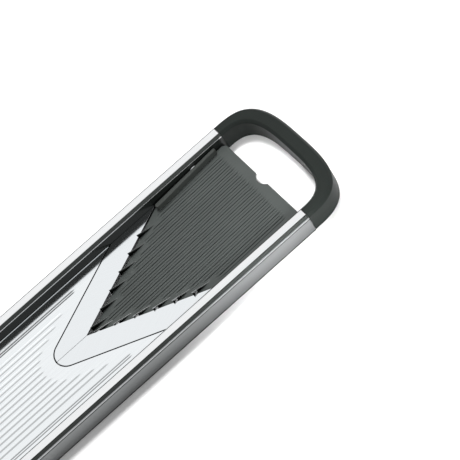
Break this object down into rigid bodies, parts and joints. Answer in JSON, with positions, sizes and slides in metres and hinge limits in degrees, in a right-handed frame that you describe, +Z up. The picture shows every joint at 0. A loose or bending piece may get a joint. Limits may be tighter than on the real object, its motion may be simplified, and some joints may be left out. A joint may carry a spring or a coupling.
{
  "type": "mandoline slicer",
  "caption": "Flat V-blade mandoline slicer: steel-clad side rails, ridged runway, sliding ribbed julienne insert with upright knives and side latch, and a loop handle.",
  "frame": {"origin": "middle of the rectangle that the slicer covers on the surface it stands on", "axes": "+Z up, +Y along the slicer towards its loop handle, +X towards the right-hand rail"},
  "size_m": [0.135, 0.3803, 0.021],
  "materials": {
    "rail_core": "moulded black plastic, glossy on the guide walls",
    "side_panel": "stainless sheet brushed along its length",
    "top_strip": "polished stainless strip",
    "inner_trim": "polished stainless edge strip",
    "base_strip": "soft black non-slip strip",
    "handle": "moulded soft-touch charcoal plastic",
    "foot_cap": "moulded charcoal plastic",
    "fastener": "plain stainless fastener",
    "runway": "fine-satin stainless sheet with pressed ridges",
    "tray": "moulded charcoal plastic",
    "blade": "satin blade steel with a ground edge",
    "insert": "moulded dark grey plastic with fine ribs",
    "knife": "polished blade steel"
  },
  "bodies": {
    "frame": {"left_rail_core": "rail_core", "left_side_panel": "side_panel", "left_top_strip": "top_strip", "left_inner_trim": "inner_trim", "left_base_strip": "base_strip", "right_rail_core": "rail_core", "right_side_panel": "side_panel", "right_top_strip": "top_strip", "right_inner_trim": "inner_trim", "right_base_strip": "base_strip", "handle_loop": "handle", "foot_end_cap": "foot_cap", "foot_pad": "base_strip", "left_rear_screw": "fastener", "left_foot_screw": "fastener", "right_rear_screw": "fastener", "right_foot_screw": "fastener", "runway_plate": "runway", "runway_tray": "tray", "left_blade_rivet_1": "fastener", "left_blade_rivet_2": "fastener", "left_blade": "blade", "left_blade_carrier": "tray", "right_blade_rivet_1": "fastener", "right_blade_rivet_2": "fastener", "right_blade": "blade", "right_blade_carrier": "tray", "rear_cross_brace": "tray"},
    "insert": {"insert_plate": "insert", "julienne_knife_left_1": "knife", "julienne_knife_left_2": "knife", "julienne_knife_left_3": "knife", "julienne_knife_left_4": "knife", "julienne_knife_left_5": "knife", "julienne_knife_left_6": "knife", "julienne_knife_right_1": "knife", "julienne_knife_right_2": "knife", "julienne_knife_right_3": "knife", "julienne_knife_right_4": "knife", "julienne_knife_right_5": "knife", "julienne_knife_right_6": "knife", "latch_pin": "fastener", "latch_spring": "fastener"},
    "latch": {"latch_arm": "insert"}
  },
  "joints": [
    {"name": "insert_slide", "type": "slide", "parent": "frame", "child": "insert", "axis": [0, 0.9994, 0.0346], "range_m": [0, 0.018]},
    {"name": "latch_pivot", "type": "hinge", "parent": "insert", "child": "latch", "pos_m": [-0.05, 0.06913, 0.00856], "axis": [0, 0.0346, -0.9994], "range_deg": [0, 3], "stiffness_Nm_per_rad": 0.05}
  ]
}
